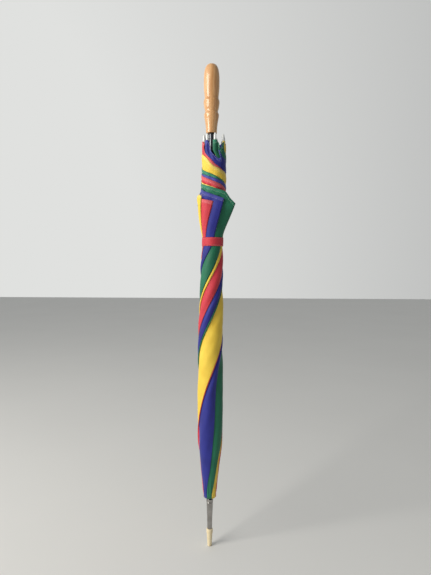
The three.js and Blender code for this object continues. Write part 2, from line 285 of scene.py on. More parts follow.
def woven(name, colour, shaded, pale):
    material, tree, shader = start_material(
        name, IOR=1.5, Roughness=0.62, Sheen_Weight=0.15, Sheen_Roughness=0.45, Specular_IOR_Level=0.4
    )
    flat = add_node(tree, "ShaderNodeUVMap", uv_map="flat_cloth").outputs["UV"]
    weave = None
    for direction in ("X", "Y"):
        wave = add_node(
            tree,
            "ShaderNodeTexWave",
            {"Vector": flat, "Scale": 1 / (20 * THREADS_APART * MM) * math.pi * 2, "Distortion": 0.4},
            bands_direction=direction,
        ).outputs["Fac"]
        weave = wave if weave is None else add_node(
            tree, "ShaderNodeMath", {0: weave, 1: wave}, operation="MULTIPLY"
        ).outputs["Value"]
    soft = add_node(
        tree, "ShaderNodeTexNoise", {"Vector": flat, "Scale": 1 / (35 * MM), "Detail": 4.0}
    ).outputs["Fac"]
    tone = between(tree, spread(tree, soft, 0.3, 0.7), shaded, colour)
    hem = add_node(tree, "ShaderNodeAttribute", attribute_name="hem").outputs["Fac"]
    # The hem attribute mixes the tone towards the pale colour: a painted highlight along each hem.
    tree.links.new(between(tree, hem, tone, pale), shader.inputs["Base Color"])
    bump = add_node(tree, "ShaderNodeBump", {"Strength": 0.18, "Distance": 0.12 * MM, "Height": weave})
    tree.links.new(bump.outputs["Normal"], shader.inputs["Normal"])
    return material


# The last colour of each cloth is its painted hem highlight.
CLOTH = {
    "green": woven("Green proofed polyester", "177050", "136246", "479A7B"),
    "yellow": woven("Yellow proofed polyester", "EFCE4B", "E6C03E", "F6E08A"),
    "red": woven("Red proofed polyester", "D03A47", "C2303E", "E27A80"),
    "blue": woven("Blue proofed polyester", "242A8C", "1F247C", "5F64B8"),
}
THREAD = moulded("Spun polyester thread", "D8D3C4", "C2BCAA", 0.7)
print("cloths:", ", ".join(m.name for m in CLOTH.values()))

# %% [markdown]
# ## Finishing the CAD's own parts
# The steel and plastic parts have the right shape already, so they stay. Their mesh is
# loose triangles, so a small Geometry Nodes tree on each one merges the corners and
# shades gentle edges smooth, and leaves the sharp ones sharp.

# %% Smooth the CAD parts
def smoothing_tree():
    tree = bpy.data.node_groups.new("Merge and shade smooth", "GeometryNodeTree")
    tree.interface.new_socket("Geometry", in_out="INPUT", socket_type="NodeSocketGeometry")
    angle = tree.interface.new_socket("Sharp angle", in_out="INPUT", socket_type="NodeSocketFloat")
    angle.default_value = math.radians(33)
    tree.interface.new_socket("Geometry", in_out="OUTPUT", socket_type="NodeSocketGeometry")
    given = add_node(tree, "NodeGroupInput")
    merged = add_node(
        tree, "GeometryNodeMergeByDistance", {"Geometry": given.outputs["Geometry"], "Distance": 1e-6}
    )
    smooth = add_node(
        tree, "GeometryNodeSetShadeSmooth", {"Geometry": merged.outputs["Geometry"]}, domain="FACE"
    )
    edge = add_node(tree, "GeometryNodeInputMeshEdgeAngle")
    gentle = add_node(
        tree,
        "FunctionNodeCompare",
        {"A": edge.outputs["Unsigned Angle"], "B": given.outputs["Sharp angle"]},
        data_type="FLOAT",
        operation="LESS_THAN",
    )
    shaded = add_node(
        tree,
        "GeometryNodeSetShadeSmooth",
        {"Geometry": smooth.outputs["Geometry"], "Shade Smooth": gentle.outputs["Result"]},
        domain="EDGE",
    )
    add_node(tree, "NodeGroupOutput", {"Geometry": shaded.outputs["Geometry"]})
    return tree


SMOOTHING = smoothing_tree()
FINISH_OF = {
    "dark_steel": DARK_STEEL,
    "polished_steel": BRIGHT_STEEL,
    "black_plastic": BLACK_NYLON,
    "white_plastic": WHITE_ACETAL,
}
DARK_NODES = ("shaft", "rib_", "stretcher_")
BLACK_NODES = ("crown_notch", "runner")


def slot_of(name):
    """The material slot that a CAD node's name belongs to."""
    if name.startswith("rib_tip"):
        return "white_plastic"
    if name.startswith(DARK_NODES):
        return "dark_steel"
    return "black_plastic" if name in BLACK_NODES else "polished_steel"


for name, part in NODES.items():
    finish = FINISH_OF[slot_of(name)]
    for used in part.material_slots:
        used.material = finish
    part.modifiers.new("smooth", "NODES").node_group = SMOOTHING
print(len(NODES), "CAD parts finished")

# %% [markdown]
# ## Turned pieces
# The handle, ferrule, collar and foot are round, so each is a profile spun about the
# shaft. The corners of a profile are cut and cut again, which rounds them the way a
# lathe tool and polishing do.

# %% Lathe
def mesh_piece(name, points, faces, material, flat=None, values=None):
    """A smooth-shaded object at the origin, with a UV map in metres and any attributes."""
    mesh = bpy.data.meshes.new(name)
    mesh.from_pydata([tuple(map(float, p)) for p in points], [], faces)
    mesh.materials.append(material)
    mesh.polygons.foreach_set("use_smooth", [True] * len(mesh.polygons))
    corners = np.zeros(len(mesh.loops), int)
    mesh.loops.foreach_get("vertex_index", corners)
    if flat is not None:
        layer = mesh.uv_layers.new(name="flat_cloth")
        layer.data.foreach_set("uv", np.asarray(flat, np.float32)[corners].ravel())
    for key, numbers in (values or {}).items():
        mesh.attributes.new(key, "FLOAT", "POINT").data.foreach_set(
            "value", np.asarray(numbers, np.float32)
        )
    mesh.validate()
    mesh.update()
    piece = bpy.data.objects.new(name, mesh)
    bpy.context.scene.collection.objects.link(piece)
    return piece


def cut_corners(profile, passes):
    """Chaikin's rule: each pass replaces a corner by two points near it."""
    for _ in range(passes):
        cut = [profile[0]]
        for a, b in zip(profile, profile[1:]):
            cut.append([0.78 * p + 0.22 * q for p, q in zip(a, b)])
            cut.append([0.22 * p + 0.78 * q for p, q in zip(a, b)])
        profile = [*cut, profile[-1]]
    return profile


def turned(name, profile, material, around, closed=False):
    """Spins a profile of (radius, height) in millimetres, outside on its right hand."""
    rounded = cut_corners([list(map(float, p)) for p in profile], 2)
    if closed:
        rounded = rounded[:-1]
    points, rings, faces = [], [], []
    for radius, height in rounded:
        if radius < 1e-6:
            rings.append([len(points)])
            points.append((0.0, 0.0, height * MM))
            continue
        rings.append(list(range(len(points), len(points) + around)))
        for k in range(around):
            turn = 2 * math.pi * k / around
            points.append((radius * MM * math.cos(turn), radius * MM * math.sin(turn), height * MM))
    pairs = list(zip(rings, rings[1:])) + ([(rings[-1], rings[0])] if closed else [])
    for low, high in pairs:
        for k in range(around):
            n = (k + 1) % around
            if len(low) == 1 and len(high) == 1:
                continue
            if len(low) == 1:
                faces.append((low[0], high[n], high[k]))
            elif len(high) == 1:
                faces.append((low[k], low[n], high[0]))
            else:
                faces.append((low[k], low[n], high[n], high[k]))
    return mesh_piece(name, points, faces, material)


print("a corner cut twice has", len(cut_corners([[0, 0], [1, 0], [1, 1]], 2)), "points")

# %% [markdown]
# ### Handle
# A straight golf handle: a mouth just above the rib tips, a neck that widens upwards,
# two turned beads with a groove between them, and a domed grip. The mouth is cut in a
# little, which leaves a shallow dark hollow round the shaft.

# %% Handle
handle = turned(
    "beech_handle",
    [
        (5.3, 958), (5.3, 869.5), (8.6, 866.5), (9.6, 864.3), (10.6, 863.6), (11.1, 864.8),
        (11.3, 870), (11.6, 876), (12.3, 882), (13.2, 888), (14.1, 893), (14.9, 897),
        (15.1, 900), (14.6, 902.5), (13.4, 904.5), (13.1, 906.5), (13.4, 909.5), (14.4, 912.5),
        (15.0, 916), (15.5, 919.5), (16.0, 923), (16.0, 927), (15.4, 929.5), (14.4, 931.6),
        (14.1, 934), (14.5, 939), (15.2, 946), (15.7, 954), (15.9, 964), (15.8, 974),
        (15.0, 983), (13.5, 990.5), (10.7, 996.4), (6.2, 999.6), (0, 1000),
    ],
    BEECH,
    around=72,
)
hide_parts("handle")
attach(handle, "frame")
print("handle has", len(handle.data.polygons), "faces")

# %% [markdown]
# ### Ferrule, collar and foot
# Below the cloth the shaft ends in a drawn steel ferrule. It narrows in two steps and
# grips the plastic foot, which takes the wear. The foot has a small shoulder where the
# mould split, and a flat end.

# %% Ferrule, collar and foot
TURNED_PARTS = (
    ("steel_ferrule", "ferrule_tube", "polished_steel", BRIGHT_STEEL, [
        (3.2, 21), (3.2, 38.3), (5.0, 38.3), (5.1, 39), (5.4, 56), (5.6, 67), (5.9, 70), (6.3, 78),
        (6.6, 88), (6.7, 92), (6.6, 96.7), (5.3, 96.7), (5.3, 76), (3.2, 75), (3.2, 21),
    ]),
    ("steel_collar", "ferrule_collar", "polished_steel", BRIGHT_STEEL, [
        (5.3, 97), (6.9, 97), (7.2, 97.4), (7.2, 98.6), (6.95, 99), (6.95, 99.6), (7.2, 100),
        (7.2, 103.4), (6.8, 104), (5.3, 104), (5.3, 97),
    ]),
    ("nylon_foot", "tip_foot", "cream_plastic", CREAM_NYLON, [
        (0, 0), (3.4, 0), (4.2, 0.4), (4.5, 1.6), (5.3, 14), (6.1, 27), (6.3, 28.2), (6.7, 29),
        (6.8, 30.5), (6.8, 36.8), (6.5, 37.8), (5.8, 38), (3.5, 38), (3.5, 20), (0, 20),
    ]),
)
for name, node, slot, material, profile in TURNED_PARTS:
    piece = turned(name, profile, material, around=48, closed=profile[0] == profile[-1])
    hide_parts(node)
    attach(piece, "frame")
    print(name, "spans", [round(x, 4) for x in (profile[0][1] * MM, max(p[1] for p in profile) * MM)])

# %% [markdown]
# ## How the cloth is furled
# Closed, each of the eight panels hangs between two ribs as a double flap, folded down
# its middle. All the flaps are wound the same way round the ribs, so each one covers
# most of the next, and what shows is a spiral of narrow bands. Simulated cloth would
# need thousands of steps to wind that tightly, and the rule is simple, so the shape is
# written as functions: how far a flap's folded edge has turned at each height, how thick
# the bundle is, and how high the hem is.

# %% Sizes of the furled bundle
# Heights in metres: cloth at the crown, rib eyes, rib joints, strap, corners, hem at a tip.
BASE, EYES, JOINTS, STRAP_Z, CORNER, HEM_TOP = 0.1095, 0.122, 0.452, 0.646, 0.733, 0.846
# No flap comes nearer to the axis than this many millimetres.
INNER_ROOM = 11.8
# Degrees round from +X to the first rib.
FIRST_RIB = -116
FLAPS = range(1, 9)
COLOURS = ("green", "yellow", "red", "blue") * 2


def smooth_table(rows, soften):
    """A smooth function through [height, value] rows, heights in millimetres."""
    heights, values = (np.array(column, float) for column in zip(*rows))
    fine = np.arange(heights[0] - 30, heights[-1] + 30, 1.0)
    reach = np.arange(-3 * soften, 3 * soften + 1)
    weight = np.exp(-((reach / soften) ** 2) / 2)
    even = np.pad(np.interp(fine, heights, values), len(reach) // 2, "edge")
    eased = np.convolve(even, weight / weight.sum(), "valid")
    return lambda z: np.interp(np.asarray(z) * 1000, fine, eased)


def ease(x, low, high):
    """0 below low, 1 above high, and a smooth step between."""
    t = np.clip((x - low) / (high - low), 0, 1)
    return t * t * (3 - 2 * t)


outside = smooth_table(
    [
        (109, 7.6), (112, 9.5), (115, 11.7), (119, 13.4), (124, 14.3), (134, 15.1), (146, 16.4),
        (166, 18.9), (192, 20.8), (222, 23.6), (262, 24.8),
        (300, 25.0), (380, 24.8), (450, 24.4), (530, 22.8), (590, 21.8), (630, 20.7),
        (646, 20.4), (660, 20.9), (690, 23.6), (720, 25.0), (760, 25.8), (800, 25.3), (846, 24.2),
    ],
    3,
)


def above_joints(z):
    """0 up to the ribs' joints with the stretchers, and 1 at the ribs' ends."""
    return np.clip((z - JOINTS) / 0.384, 0, 1)


def rib_line(z):
    """How far out the ribs' middles are, in millimetres."""
    low = np.clip((z - EYES) / 0.330, 0, 1)
    return 11 + 0.8 * low + 9.2 * above_joints(z)


def lean(z):
    """The loose top of the bundle leans to the right."""
    return 0.006 * above_joints(z)


def clear_of_ribs(z):
    """The least radius in millimetres that keeps the cloth off the ribs, lean and all."""
    return rib_line(z) + 1.6 + 0.9 * above_joints(z)


def wound(z):
    """Degrees that a folded edge has turned from its rib at each height."""
    lower = 445 * np.clip((z - EYES) / 0.528, 0, None) ** 1.75
    return np.where(z < 0.65, lower, 445 + 460 * (z - 0.65))


FULL_TURN = float(wound(CORNER))
print("a flap winds", round(FULL_TURN), "degrees from its rib to its corner")

# %% [markdown]
# A hand furls no two flaps alike, so each has its own small lead or lag, its own hem,
# and its own length of loose corner above the strap. Near the top each flap's first
# edge also slips round by one place, so it ends at the tip of the next rib.

# %% Each flap's own habits
# Degrees that a flap's folded edge leads the even spiral, at heights in millimetres.
EDGE_LEAD = {
    1: [(114, 40), (134, 52), (153, 58), (212, 62), (250, 70), (300, 60), (360, 31), (600, 31), (665, 8)],
    2: [(114, 20), (150, 25), (200, 30), (260, 20), (320, 1), (600, 1), (665, 0)],
    3: [(150, 0), (230, 18), (600, 18), (665, 0)],
    4: [(150, 0), (230, 12), (600, 12), (665, 0)],
    5: [(150, 0), (230, -24), (600, -24), (665, 0)],
    6: [(150, 0), (230, 41), (600, 41), (655, -1), (733, -14)],
    7: [(150, 0), (230, 0), (600, 0), (655, -13), (700, -6), (733, -1)],
    8: [
        (114, 36), (134, 50), (176, 66), (216, 61), (256, 50), (295, 32), (321, 16), (352, -3), (394, -22),
        (440, -14), (480, -7), (580, -7), (630, 5), (655, -7), (733, 0),
    ],
}
# Each hem's height in millimetres, at degrees round from the flap's own rib.
HEM = {
    1: [
        (45, 846), (66, 846), (73, 838), (80, 826), (92, 843), (103, 843), (118, 822),
        (296, 765), (440, 746), (484, 721),
    ],
    2: [(45, 846), (66, 846), (73, 838), (80, 820), (251, 769), (431, 740), (484, 729)],
    3: [(45, 846), (66, 846), (73, 838), (80, 820), (206, 782), (386, 751), (484, 731)],
    4: [(45, 846), (66, 846), (73, 838), (80, 818), (161, 785), (341, 760), (484, 735)],
    5: [
        (45, 846), (66, 846), (73, 838), (80, 816), (116, 794), (206, 779), (296, 760),
        (476, 722), (484, 720),
    ],
    6: [
        (45, 846), (66, 846), (72, 836), (79, 825), (100, 819), (126, 812), (146, 802),
        (165, 795), (184, 792), (207, 788), (251, 783), (400, 748), (431, 742), (484, 740),
    ],
    7: [
        (45, 846), (66, 846), (72, 836), (80, 822), (101, 809), (120, 800), (139, 795),
        (160, 789), (250, 770), (386, 736), (484, 726),
    ],
    8: [
        (45, 846), (66, 846), (72, 836), (80, 817), (92, 811), (106, 810), (118, 836),
        (128, 840), (140, 816), (165, 801), (341, 755), (484, 731),
    ],
}
# Millimetres of loose cloth at each flap's corner, and how far it curls (1 follows the bundle).
LOOSE = {1: 45, 2: 14, 3: 9, 4: 7, 5: 7, 6: 4, 7: 4, 8: 28}
CURL = {1: 0.10, 2: 0.5, 3: 0.5, 4: 0.5, 5: 0.4, 6: 0.5, 7: 0.4, 8: 0.08}
SLIP = 45.0
# The part of a flap's way round, from its rib, that is the sleeve on the rib's end.
SLEEVE_SHARE = 0.044
leads = {flap: smooth_table(rows, 9) for flap, rows in EDGE_LEAD.items()}
hems = {flap: smooth_table([(turn * 10, height) for turn, height in rows], 20) for flap, rows in HEM.items()}


def slip(z):
    """Degrees that a flap's first edge has slipped from its own rib towards the next."""
    return SLIP * ease(z, 0.665, 0.80)


def hem_height(flap, share, under=0):
    """The hem's height in metres, from 0 at the rib tip to 1 at the folded corner."""
    share = np.asarray(share)
    turn = SLIP + share * (FULL_TURN - SLIP)
    hem = hems[flap](turn / 100)
    if under:
        # Past the sleeve the layer beneath drops, and then stays just below the outer hem.
        below = hems[flap]((turn + 45 * (1 - share)) / 100) - 1.5 * (1 - share)
        hem = np.maximum(hem - 1500 * np.clip(share - SLEEVE_SHARE, 0, None), below)
    return hem * MM


def top_turn(flap, z):
    """Degrees to the flap's last edge at each height: its fold, or above the corner its hem."""
    shares = np.linspace(0, 1, 160)
    heights = np.minimum.accumulate(hem_height(flap, shares))
    above = SLIP + (FULL_TURN - SLIP) * np.interp(z, heights[::-1], shares[::-1])
    return np.where(z < heights[-1], wound(z) + leads[flap](z), above)


def layer_pitch(z):
    """Millimetres between one flap and the next below it, and the bundle's own turn."""
    high = np.clip((HEM_TOP - z) / (HEM_TOP - CORNER), 0, 1)
    turns = np.where(z < CORNER, wound(z), SLIP + (FULL_TURN - SLIP) * high)
    return np.minimum(0.8, (outside(z) - clear_of_ribs(z)) / np.maximum(turns / 45, 0.5)), turns


print("layers at the strap are", round(float(layer_pitch(np.array(STRAP_Z))[0]), 2), "mm apart")

# %% [markdown]
# The point of a flap at any share across and up then follows: wind round by the turn,
# stay under the flaps that lie on top, puff out a little where the band shows, gather in
# pleats at the strap and the crown, and above the strap let the last part of the flap
# leave the bundle as a loose corner. Cloth that others cover is let in between the
# ribs in folds, and round each rib's end the cloth closes to a narrow sleeve.

# %% Where the cloth is
# Millimetres: the deepest hidden fold, and half a sleeve's width, front depth and whole depth.
DEEPEST_FOLD = 11.0
SLEEVE_HALF, SLEEVE_FRONT, SLEEVE_DEPTH = 4.3, 4.0, 7.6


def before(flap):
    """The flap that lies on top of this one."""
    return (flap - 2) % 8 + 1


def gathers(angle, z):
    """Millimetres of pleats and soft creases, the same for every layer at a place."""
    at = np.radians(angle)
    twist = np.radians(wound(z))
    crown = np.exp(-(((z - 0.124) / 0.022) ** 2))
    strap = np.exp(-(((z - STRAP_Z) / 0.030) ** 2))
    pleats = 0.55 * crown * np.sin(16 * at - 0.6) + 0.28 * strap * np.sin(19 * at - 9 * twist + 0.7)
    soft = 0.22 * np.sin(5 * at - 4.2 * twist + 31 * z) + 0.16 * np.sin(9 * at - 8 * twist - 47 * z + 1.3)
    drape = 0.35 * np.sin(3 * at - 2.6 * twist + 12 * z + 0.4)
    return pleats + (soft + drape) * (1 - 0.7 * strap) * ease(z, 0.13, 0.2)


def left_swell(angle, z):
    """The loose top swells to the left below the corners, and draws in above them."""
    side = np.exp(-((((angle - 192 + 180) % 360 - 180) / 40) ** 2))
    return 8.0 * side * np.clip((z - 0.655) / 0.078, 0, 1) * (1 - ease(z, 0.737, 0.748))


def between_ribs(angle, z, radius):
    """1 halfway between two ribs and 0 at a rib, allowing for the lean."""
    shift = np.degrees(lean(z) / MM * np.sin(np.radians(angle)) / radius)
    from_rib = np.radians(8 * (angle - shift - FIRST_RIB))
    return (0.5 - 0.5 * np.cos(from_rib)) ** 1.4


def hidden_folds(cover, angle, z, radius, stack):
    """Millimetres that cloth is let in between the ribs. cover is its degrees under other cloth."""
    covered = ease(cover, 3, 20) * ease(z, 0.13, 0.20) * (1 - ease(z, 0.76, 0.80))
    room = np.clip(radius - stack - INNER_ROOM, 0, DEEPEST_FOLD)
    return covered * room * between_ribs(angle, z, radius)


def cloth_at(flap, under, share, rise, lift=0.0):
    """Points of a flap. under is 0 on the outer layer and 1 on the one folded beneath it."""
    share, rise = np.broadcast_arrays(np.asarray(share, float), np.asarray(rise, float))
    corner = float(hem_height(flap, 1.0))
    z = BASE + (hem_height(flap, share, under) - BASE) * rise
    fold_z = BASE + (corner - BASE) * rise
    full = wound(fold_z) + leads[flap](fold_z)
    # finger goes from 0 in the wound cloth to 1 in the sleeves on the ribs' ends.
    finger = ease(z, 0.806, 0.828)
    rib_at = np.radians(FIRST_RIB + 45 * (flap - 1 + under) + SLIP)
    aside = lean(z) / MM * math.sin(rib_at)
    at_rib = 45.0 * under + slip(z) + np.degrees(aside / rib_line(z)) * finger
    start = at_rib - 11 * finger
    turn = start + share * (full - start)
    pitch, base_turn = layer_pitch(z)
    depth = (base_turn - turn) / 45
    radius = outside(z) - pitch * depth
    cover = full - turn
    if under:
        from_fold = (1 - share) * np.abs(full - start)
        radius = radius - pitch * (0.35 * np.clip(from_fold / 6, 0, 1) + 0.65 * (1 - share) ** 2)
    else:
        band_start = top_turn(before(flap), z) - 45
        cover = band_start - turn
        band = np.clip((turn - band_start) / np.maximum(top_turn(flap, z) - band_start, 4), 0, 1)
        strap = np.exp(-(((z - STRAP_Z) / 0.026) ** 2))
        height = (1.9 * ease(z, 0.14, 0.24) - 0.9 * ease(z, 0.66, 0.74)) * (1 - 0.92 * strap)
        radius = radius + height * np.sin(math.pi * band) ** 2
    angle = FIRST_RIB + 45 * (flap - 1) + turn
    folds = hidden_folds(cover, angle, z, outside(z), pitch * np.maximum(base_turn / 45 - 1, 0))
    radius = radius + gathers(angle, z) + left_swell(angle, z) - folds
    gap = between_ribs(angle, z, radius) * (folds > 0)
    least = clear_of_ribs(z) + 0.11 * np.clip(6 - depth - 0.5 * under, 0, 8)
    radius = np.maximum(radius, least * (1 - gap) + INNER_ROOM * gap)
    # Each rib's end is sleeved: the flap goes round its front, the flap before round its back.
    across = np.radians(turn - at_rib) * rib_line(z) / SLEEVE_HALF
    end_of_rib = np.hypot(rib_line(z), aside)
    depth_here = SLEEVE_FRONT - SLEEVE_DEPTH * under
    sleeve = end_of_rib + depth_here * np.sqrt(np.clip(1 - across ** 2, 0, 1))
    held = finger * ease(1.5 - np.abs(across), 0.0, 0.45)
    radius = radius * (1 - held) + sleeve * held + lift
    # The loose corner: past this turn the cloth goes straight on, with a little curl.
    corner_z = np.minimum(z, corner)
    free = LOOSE[flap] * np.clip((corner_z - STRAP_Z) / (corner - STRAP_Z), 0, 1)
    leaves = wound(corner_z) + leads[flap](corner_z) - np.degrees(free / outside(z))
    past = np.radians(np.maximum(turn - leaves, 0)) * (free > 0.01)
    bend = np.where(past > 0, CURL[flap], 1.0)
    forward = radius * np.sin(bend * past) / bend
    inward = radius * (1 - np.cos(bend * past)) / bend
    stay = np.radians(np.where(past > 0, angle - np.degrees(past), angle))
    x = (radius - inward) * np.cos(stay) - forward * np.sin(stay)
    y = (radius - inward) * np.sin(stay) + forward * np.cos(stay)
    return np.stack([x * MM + lean(z), y * MM, z], axis=-1)


corner_point = cloth_at(1, 0, 1.0, 1.0)
print("the green corner is", [round(float(x), 4) for x in corner_point])

# %% [markdown]
# ### The eight flaps
# Each flap is one sheet: columns run from its rib out to the fold and back beneath to
# the next rib, and rows run from the crown to the hem. Its UV map is the flat panel
# that was cut, a tall triangle. Solidify gives the cloth its real thickness.

# %% Furled flaps
CLOTH_THICK = 0.12 * MM
PANEL_FLAT = (0.485, 0.725)
ACROSS, UP = 76, 140
CLOSE_SHARE, CLOSE_COLUMNS = 0.08, 13
HEM_BAND = 7 * MM


def hem_highlight(to_hem):
    """How much painted highlight the hem band gets: 0.45 in the folded hem, and 0 further from the edge than
    1.2 hem widths.
    """
    return 0.45 * (1 - ease(to_hem, 0.6 * HEM_BAND, 1.2 * HEM_BAND))


def thicken(piece, thickness, offset=0):
    """Gives a sheet its real thickness, half on each side unless offset says otherwise."""
    thick = piece.modifiers.new("thickness", "SOLIDIFY")
    thick.thickness = thickness
    thick.offset = offset


def sheet_faces(rows, columns):
    return [
        (r * columns + c, r * columns + c + 1, (r + 1) * columns + c + 1, (r + 1) * columns + c)
        for r in range(rows - 1)
        for c in range(columns - 1)
    ]


def furled_flap(flap):
    # The first columns are close together, so that they can round the sleeve.
    close = np.linspace(0, CLOSE_SHARE, CLOSE_COLUMNS + 1)[:-1]
    one_way = np.concatenate([close, np.linspace(CLOSE_SHARE, 1, ACROSS - CLOSE_COLUMNS)])
    shares = np.concatenate([one_way, one_way[::-1][1:]])
    unders = np.concatenate([np.zeros(ACROSS), np.ones(ACROSS - 1)])
    rises = np.linspace(0, 1, UP) ** 0.93
    outer = cloth_at(flap, 0, shares[None, :ACROSS], rises[:, None])
    inner = cloth_at(flap, 1, shares[None, ACROSS:], rises[:, None])
    points = np.concatenate([outer, inner], axis=1)
    across = np.where(unders == 0, shares - 1, 1 - shares)[None, :]
    flat_u = across * PANEL_FLAT[0] / 2 * rises[:, None] + 0.3
    flat_v = np.broadcast_to(rises[:, None] * PANEL_FLAT[1], flat_u.shape)
    to_hem = (1 - rises[:, None]) * PANEL_FLAT[1] * np.ones_like(flat_u)
    piece = mesh_piece(
        f"furled_panel_{flap}",
        points.reshape(-1, 3),
        sheet_faces(len(rises), len(shares)),
        CLOTH[COLOURS[flap - 1]],
        flat=np.stack([flat_u, flat_v], axis=-1).reshape(-1, 2),
        values={"hem": hem_highlight(to_hem).ravel()},
    )
    thicken(piece, CLOTH_THICK)
    return piece


def fold_away(piece):
    """Cloth that can't follow the ribs out: it is attached to the frame's body, with its own mesh."""
    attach(piece, "frame")
    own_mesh(piece)


for flap in FLAPS:
    piece = furled_flap(flap)
    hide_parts(f"canopy_panel_{flap}")
    fold_away(piece)

# %% [markdown]
# ## Strap and press stud
# A strip of the same cloth, sewn double, goes once round the bundle and closes with a
# press stud. It overlaps itself at the stud, and its free end stands off a little.

# %% Strap
STRAP_LOW, STRAP_MIDDLE, STRAP_HIGH = 0.6378, 0.6465, 0.6552


def strap_radius(angle, height):
    """How far out the strap lies, in millimetres, and its slight unevenness there."""
    return outside(np.full_like(height, STRAP_MIDDLE)) + 0.72, 0.10 * np.sin(np.radians(7 * angle))


def strap_ring(name, start, end, lift, around, droop=0.0):
    turns = np.linspace(start, end, around)
    rows = np.linspace(0, 1, 7)
    angle, row = np.meshgrid(turns, rows)
    height = STRAP_LOW + (STRAP_HIGH - STRAP_LOW) * row
    fade = ease(angle, end - 16, end)
    height = height - droop * fade
    middle, uneven = strap_radius(angle, height)
    crown = 0.25 * np.sin(math.pi * row)
    radius = middle + crown + lift + uneven + 1.1 * fade * (droop > 0)
    at = np.radians(angle)
    points = np.stack(
        [radius * MM * np.cos(at) + lean(height), radius * MM * np.sin(at), height], axis=-1
    )
    flat = np.stack([at * 0.022, height - STRAP_LOW], axis=-1)
    piece = mesh_piece(
        name,
        points.reshape(-1, 3),
        sheet_faces(len(rows), around),
        CLOTH["red"],
        flat=flat.reshape(-1, 2),
        values={"hem": np.zeros(points.shape[0] * points.shape[1])},
    )
    thicken(piece, 0.5 * MM)
    return piece


strap = strap_ring("closing_strap", 42, 402, 0.0, 121)
strap_end = strap_ring("strap_end", -14, 62, 0.75, 39, droop=0.0045)
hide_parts("strap")
for piece in (strap, strap_end):
    fold_away(piece)
print("strap is", round((STRAP_HIGH - STRAP_LOW) * 1000, 1), "mm wide")

# %% [markdown]
# ### Press stud
# A pressed steel cap with a rolled rim and a dimple, set flat on the strap's end. It is
# turned like the handle, then its mesh is moved to the strap, so the object itself
# stays at the origin.

# %% Stud
stud = turned(
    "press_stud",
    [(0, 0), (5.6, 0), (6.0, 0.4), (6.0, 0.9), (5.5, 1.4), (4.6, 1.5), (3.6, 1.2), (2.2, 1.1), (0, 1.0)],
    BRIGHT_STEEL,
    around=32,
)
stud_low, stud_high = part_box("strap_stud")
middle = (stud_low + stud_high) / 2
strap_lean = float(lean(STRAP_MIDDLE))
out = Vector((middle.x - strap_lean, middle.y, 0)).normalized()
stud_out = (float(outside(STRAP_MIDDLE)) + 1.95) * MM
seat = Vector((strap_lean, 0, STRAP_MIDDLE)) + out * stud_out
stud.data.transform(Matrix.Translation(seat) @ out.to_track_quat("Z", "Y").to_matrix().to_4x4())
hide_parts("strap_stud")
fold_away(stud)
print("stud is at", [round(x, 4) for x in seat], "and its CAD node at", [round(x, 4) for x in middle])

# %% [markdown]
# ## Rosette
# A small gathered round of cloth covers the crown where the eight panels meet. It is
# pleated by hand, so its rim waves.

# %% Rosette
def rosette_piece():
    rings = [(5.5, 106.0), (6.2, 106.3), (6.6, 107.4), (6.9, 109.0), (7.4, 110.6), (8.4, 112.4), (9.6, 114.4)]
    around = 96
    points, flat = [], []
    for radius, height in rings:
        for k in range(around + 1):
            at = 2 * math.pi * k / around
            wave = 0.3 * ((radius - 5.5) / 4.1) * math.sin(16 * at - 0.6)
            points.append(
                ((radius + wave) * MM * math.cos(at), (radius + wave) * MM * math.sin(at), height * MM)
            )
            flat.append((at * 0.012, radius * MM))
    return mesh_piece(
        "crown_cloth",
        points,
        sheet_faces(len(rings), around + 1),
        CLOTH["blue"],
        flat=flat,
        values={"hem": np.zeros(len(points))},
    )


rosette = rosette_piece()
thicken(rosette, 0.4 * MM, offset=-1)
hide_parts("crown_rosette")
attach(rosette, "frame")
print("rosette has", len(rosette.data.polygons), "faces")

# %% [markdown]
# ## The spread canopy
# When the umbrella opens, the wound cloth can't be unwound by one hinge. So each panel
# has a second piece: a strip a few millimetres wide that lies along its rib beneath the
# wound cloth. Across that width, the strip's points sit at the rib's radius at one side
# and at the next rib's at the other, and its UV map is a whole flat panel.

# %% Spread panels
STRIP_WIDTH = 3.0 * MM
# Metres: the strip's lowest point, its hem at a rib, and how far the hem hollows between ribs.
FAN_FOOT, FAN_HEM, FAN_HOLLOW = 0.128, 0.842, 0.030
FAN_COLUMNS, FAN_ROWS = 25, 48


def rib_direction(flap):
    at = math.radians(FIRST_RIB + 45 * (flap - 1))
    return Vector((math.cos(at), math.sin(at), 0)), Vector((-math.sin(at), math.cos(at), 0))


def rib_radius(flap, z):
    """The outside of a rib in metres, with its share of the lean."""
    out, _ = rib_direction(flap)
    return (rib_line(z) + 1.5) * MM + lean(z) * out.x


def share_to_offset(fraction):
    """The inverse of a smooth step, so that the fan is even."""
    return 0.5 - np.sin(np.arcsin(np.clip(1 - 2 * fraction, -1, 1)) / 3)


def spread_panel(flap):
    out, side = rib_direction(flap)
    following = flap % 8 + 1
    fraction = np.linspace(0, 1, FAN_COLUMNS)
    rise = np.linspace(0, 1, FAN_ROWS)
    f, v = np.meshgrid(fraction, rise)
    hem = FAN_HEM - FAN_HOLLOW * np.sin(math.pi * f) ** 0.8
    z = FAN_FOOT + (hem - FAN_FOOT) * v
    own, other = rib_radius(flap, z), rib_radius(following, z) + 0.0003
    radius = own * (1 - f) + np.clip(other, own - 0.005, own + 0.0009) * f
    offset = share_to_offset(f) * STRIP_WIDTH
    points = np.stack(
        [radius * out.x + offset * side.x, radius * out.y + offset * side.y, z], axis=-1
    )
    flat = np.stack([(f - 0.5) * PANEL_FLAT[0] * v + 0.3, v * PANEL_FLAT[1]], axis=-1)
    piece = mesh_piece(
        f"spread_panel_{flap}",
        points.reshape(-1, 3),
        sheet_faces(FAN_ROWS, FAN_COLUMNS),
        CLOTH[COLOURS[flap - 1]],
        flat=flat.reshape(-1, 2),
        values={"hem": hem_highlight((1 - v) * PANEL_FLAT[1]).ravel()},
    )
    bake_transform(piece)
    return piece


